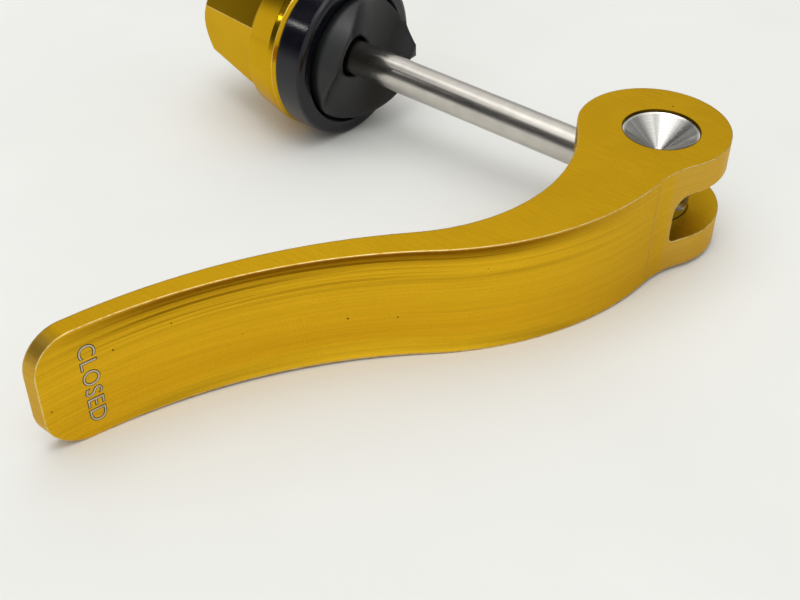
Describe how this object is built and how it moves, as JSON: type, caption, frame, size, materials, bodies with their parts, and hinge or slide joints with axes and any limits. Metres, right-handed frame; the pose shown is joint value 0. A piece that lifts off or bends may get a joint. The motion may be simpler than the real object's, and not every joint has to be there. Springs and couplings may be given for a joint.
{
  "type": "quick release seatpost skewer",
  "caption": "Quick release skewer for a seatpost clamp: cam lever on a barrel pin, straight rod, cam saddle in a cup washer and a tapered adjusting nut.",
  "frame": {"origin": "on the rod's axis, halfway along the free shank between the lever's head and the saddle", "axes": "+X along the rod from the nut to the lever, +Z along the barrel pin, the closed lever's arm points along -Y"},
  "size_m": [0.0857, 0.0877, 0.0244],
  "materials": {
    "gold_lever": "satin gold anodised, worn bright on the edges",
    "gold_nut": "polished gold anodised",
    "turned_steel": "turned, bright",
    "rod_steel": "ground",
    "black_plastic": "matte",
    "black_anodised": "glossy black anodised",
    "nylon": "plain nylon"
  },
  "bodies": {
    "shank": {"skewer_rod": "rod_steel", "pivot_pin": "turned_steel"},
    "lever": {"lever": "gold_lever"},
    "cup": {"cup_washer": "black_anodised"},
    "saddle": {"cam_saddle": "black_plastic"},
    "ring": {"lock_ring": "nylon"},
    "nut": {"adjusting_nut": "gold_nut"}
  },
  "joints": [
    {"name": "lever_swing", "type": "hinge", "parent": "shank", "child": "lever", "pos_m": [0.03, 0, 0], "axis": [0, 0, 1], "range_deg": [0, 180]},
    {"name": "cup_slide", "type": "slide", "parent": "shank", "child": "cup", "axis": [1, 0, 0], "range_m": [0, 0.0354]},
    {"name": "saddle_turn", "type": "hinge", "parent": "cup", "child": "saddle", "pos_m": [-0.02, 0, 0], "axis": [1, 0, 0], "continuous": true},
    {"name": "nut_travel", "type": "slide", "parent": "shank", "child": "ring", "axis": [1, 0, 0], "range_m": [-0.044, 0]},
    {"name": "nut_turn", "type": "hinge", "parent": "ring", "child": "nut", "pos_m": [-0.035, 0, 0], "axis": [1, 0, 0], "range_deg": [-19800, 0]}
  ],
  "couplings": [
    {"joint": "nut_travel", "follows": "nut_turn", "m_per_rad": 0.00012732}
  ]
}
